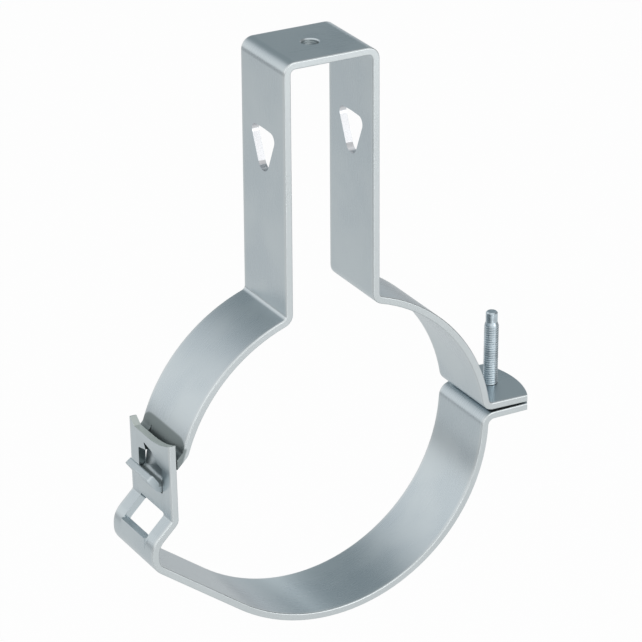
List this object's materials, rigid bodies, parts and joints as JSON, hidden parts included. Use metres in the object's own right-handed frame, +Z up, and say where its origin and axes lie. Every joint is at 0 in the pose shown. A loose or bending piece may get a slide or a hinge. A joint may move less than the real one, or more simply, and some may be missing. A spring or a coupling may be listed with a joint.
{
  "type": "pipe clamp",
  "caption": "Hanging pipe clamp of two folded steel strips: a legged half-ring bracket and a hooked lower band, drawn together by a flange screw.",
  "frame": {"origin": "centre of the pipe in the lower band, half way along the strip's width", "axes": "+Y along the pipe, +Z up towards the hanging plate, +X towards the screw flanges"},
  "size_m": [0.1735, 0.035, 0.2386],
  "materials": {
    "plated_strip": "satin zinc plating",
    "plated_fastener": "bright zinc plating"
  },
  "bodies": {
    "bracket": {"upper_bracket": "plated_strip"},
    "band": {"lower_band": "plated_strip"},
    "washer": {"retaining_washer": "plated_fastener"},
    "screw": {"clamp_screw": "plated_fastener"}
  },
  "joints": [
    {"name": "washer_travel", "type": "slide", "parent": "bracket", "child": "washer", "axis": [-0.0122, 0, -0.9999], "range_m": [0, 0.017]},
    {"name": "screw_turn", "type": "hinge", "parent": "washer", "child": "screw", "pos_m": [0.0819, 0, 0.0038], "axis": [-0.0122, 0, -0.9999], "range_deg": [0, 6120]},
    {"name": "band_swing", "type": "hinge", "parent": "bracket", "child": "band", "pos_m": [-0.0692, 0, 0.0135], "axis": [0, 1, 0], "range_deg": [0, 6.19]}
  ],
  "couplings": [
    {"joint": "screw_turn", "follows": "washer_travel", "rad_per_m": 6283.2},
    {"joint": "band_swing", "follows": "washer_travel", "rad_per_m": 6.3492}
  ]
}
